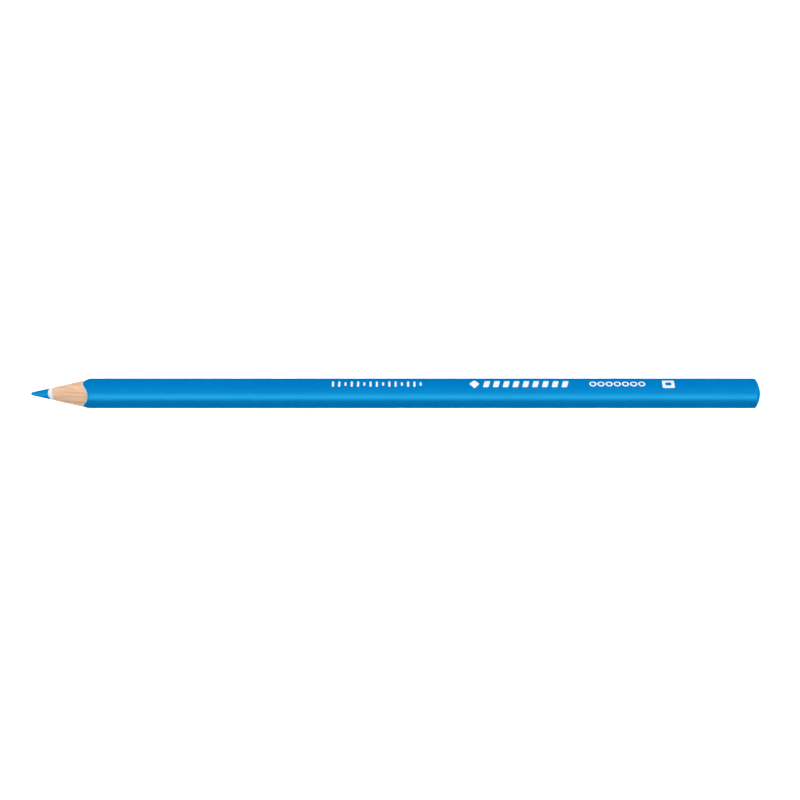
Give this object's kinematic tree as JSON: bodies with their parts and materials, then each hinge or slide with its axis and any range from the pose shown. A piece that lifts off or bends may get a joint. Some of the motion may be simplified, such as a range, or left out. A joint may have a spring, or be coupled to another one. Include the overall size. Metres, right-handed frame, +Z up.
{
  "type": "coloured pencil",
  "caption": "Sharpened triangular wooden pencil with a coloured wax core and a soft-touch lacquered body, for drawing and colouring.",
  "frame": {"origin": "middle of the pencil's length, on the surface it rests on, under its axis", "axes": "+X along the pencil from the sharpened tip at -X to the domed end, +Z up through the uppermost ridge"},
  "size_m": [0.175, 0.0072, 0.0071],
  "materials": {
    "core_wax": "waxy, semi-matte pigment core",
    "core_white": "matte white protective sleeve",
    "wood_glue": "cured wood glue, hidden inside",
    "wood": "bare turned softwood on the sharpened cone",
    "white_primer": "matte white base coat",
    "blue_lacquer": "opaque blue lacquer",
    "blue_grip": "soft-touch semi-matte blue coat",
    "blue_dip": "dipped blue lacquer, slightly glossier",
    "white_foil": "white hot-stamped foil"
  },
  "bodies": {
    "root": {"core": "core_wax", "core_coating": "core_white", "slat_glue": "wood_glue", "slat_upper": "wood", "slat_lower": "wood", "primer_coat": "white_primer", "colour_coat": "blue_lacquer", "grip_coat": "blue_grip", "end_primer": "white_primer", "end_dip": "blue_dip", "foil_scale": "white_foil", "foil_badge": "white_foil", "foil_blocks": "white_foil", "foil_rings": "white_foil", "foil_frame": "white_foil"}
  },
  "joints": []
}
